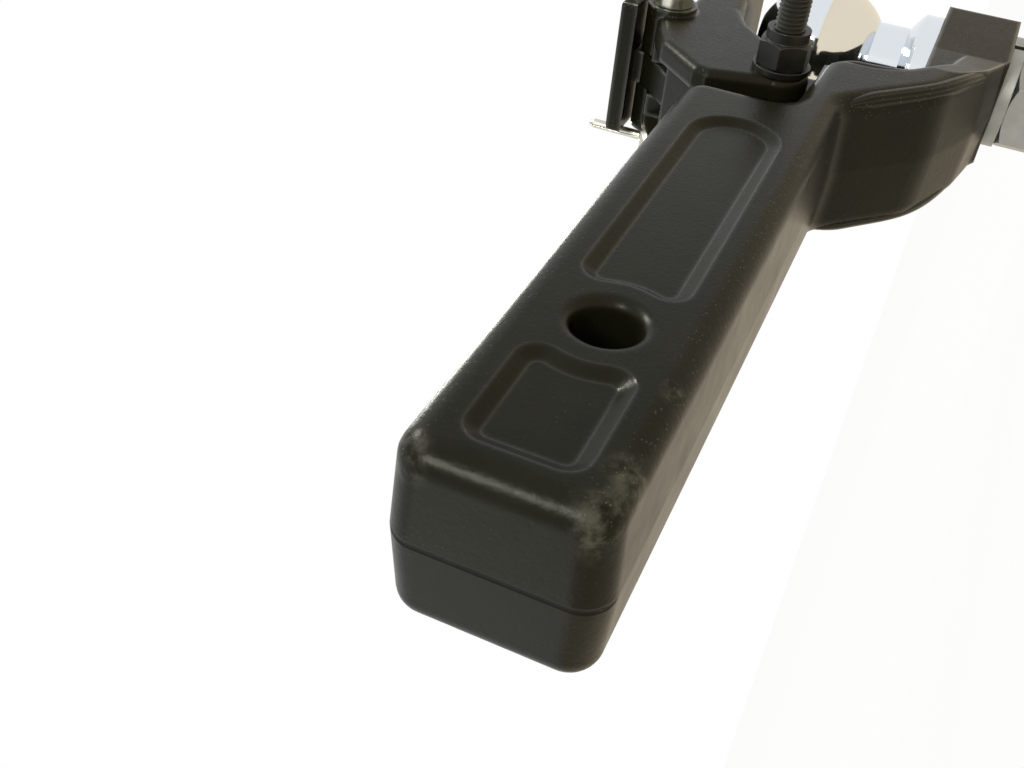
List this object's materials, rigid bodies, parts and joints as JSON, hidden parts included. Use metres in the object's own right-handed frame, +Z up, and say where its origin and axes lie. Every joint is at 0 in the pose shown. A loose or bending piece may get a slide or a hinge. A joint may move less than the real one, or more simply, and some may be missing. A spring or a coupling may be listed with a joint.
{
  "type": "pintle ball combination hitch",
  "caption": "Forged pintle and ball combination hitch for a square receiver, black painted, with chrome tow ball, hinged latch and spring lock lever",
  "frame": {"origin": "centre of the hitch-pin hole in the middle of the shank", "axes": "+X along the shank from the receiver towards the ball, +Y sideways along the pin hole, +Z up as installed"},
  "size_m": [0.3364, 0.0895, 0.1742],
  "materials": {
    "black_paint": "semi-gloss black paint over a forged surface",
    "chrome": "polished chrome",
    "zinc_dull": "dull zinc plate",
    "zinc_bright": "bright zinc plate",
    "black_oxide": "black finished steel",
    "bare_steel": "oiled plain steel"
  },
  "bodies": {
    "root": {"hook_body": "black_paint", "hitch_ball": "chrome", "ball_lock_washer": "zinc_dull", "ball_nut": "zinc_dull", "pivot_bush": "bare_steel"},
    "latch": {"latch": "black_paint", "latch_pivot_bolt": "black_oxide", "pivot_washers": "black_oxide", "latch_pivot_nut": "black_oxide", "lever_pin": "zinc_bright", "cotter_pin": "zinc_bright", "lever_spring": "bare_steel"},
    "lever": {"lock_lever": "black_paint"}
  },
  "joints": [
    {"name": "latch_pivot", "type": "hinge", "parent": "root", "child": "latch", "pos_m": [0.169, 0, 0.001], "axis": [0, -1, 0], "range_deg": [0, 36]},
    {"name": "lock_lever_pivot", "type": "hinge", "parent": "latch", "child": "lever", "pos_m": [0.199, 0, 0.049], "axis": [0, 1, 0], "range_deg": [0, 6], "deforming": ["lever_spring"]}
  ],
  "couplings": [
    {"joint": "lock_lever_pivot", "follows": "latch_pivot", "ratio": 0.16}
  ]
}
